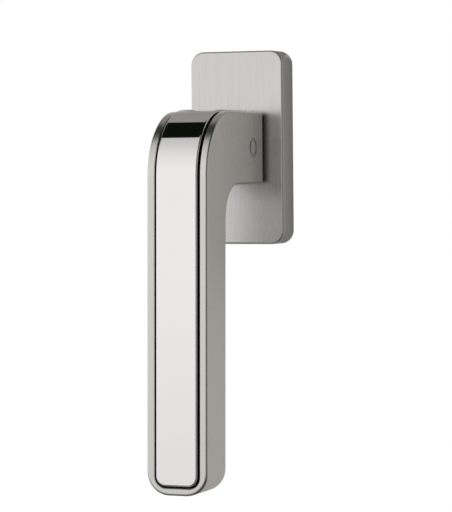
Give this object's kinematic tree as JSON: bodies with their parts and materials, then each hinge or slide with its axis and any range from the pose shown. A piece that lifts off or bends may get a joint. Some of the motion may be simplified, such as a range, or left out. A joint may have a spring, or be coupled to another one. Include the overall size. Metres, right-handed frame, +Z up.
{
  "type": "tilt turn window handle",
  "caption": "Satin nickel window handle: an L-shaped lever with a polished front strip turns on a rectangular rose and drives a square spindle.",
  "frame": {"origin": "where the spindle's axis meets the mounting face of the rose", "axes": "+Z up along the rose, with the lever hanging down towards -Z; -Y out into the room and +Y into the sash along the spindle; +X to the right of a person in the room"},
  "size_m": [0.0348, 0.1045, 0.15],
  "materials": {
    "rose_satin": "satin nickel look, brushed lengthwise",
    "lever_satin": "satin nickel look, finely blasted",
    "strip_polished": "polished nickel",
    "zinc_cast": "raw die-cast zinc, matt grey",
    "steel_zinc_plated": "zinc-plated steel",
    "steel_spring": "oiled spring steel",
    "steel_ball": "polished bearing steel",
    "nylon_black": "black nylon, matt",
    "nylon_white": "natural nylon",
    "steel_black": "black oxide steel",
    "tape_black": "black acrylic foam tape"
  },
  "bodies": {
    "rose": {"rose_cover": "rose_satin", "base_plate": "zinc_cast", "cover_clips": "steel_spring", "bearing_bush": "nylon_black", "disc_spring": "steel_spring", "thrust_washer": "nylon_white", "retaining_plate": "steel_zinc_plated", "retaining_plate_screws": "steel_zinc_plated", "support_lugs": "steel_zinc_plated", "fixing_screws": "steel_zinc_plated", "upper_detent_spring": "steel_spring", "lower_detent_spring": "steel_spring"},
    "lever": {"lever_body": "lever_satin", "front_insert": "strip_polished", "insert_tape": "tape_black", "index_hub": "steel_zinc_plated", "square_spindle": "steel_zinc_plated", "spindle_pin": "steel_spring", "grub_screw": "steel_black", "neck_collar": "nylon_black"},
    "upper_detent": {"upper_detent_ball": "steel_ball"},
    "lower_detent": {"lower_detent_ball": "steel_ball"}
  },
  "joints": [
    {"name": "lever_turn", "type": "hinge", "parent": "rose", "child": "lever", "pos_m": [0, 0, 0], "axis": [0, -1, 0], "range_deg": [0, 180]},
    {"name": "upper_ball_slide", "type": "slide", "parent": "rose", "child": "upper_detent", "axis": [-0.5, 0, -0.866], "range_m": [0, 0.0007], "stiffness_N_per_m": 1000, "springref_m": 0.0017, "deforming": ["upper_detent_spring"]},
    {"name": "lower_ball_slide", "type": "slide", "parent": "rose", "child": "lower_detent", "axis": [0.5, 0, 0.866], "range_m": [0, 0.0007], "stiffness_N_per_m": 1000, "springref_m": 0.0017, "deforming": ["lower_detent_spring"]}
  ],
  "couplings": [
    {"joint": "lower_ball_slide", "follows": "upper_ball_slide", "ratio": 1}
  ]
}
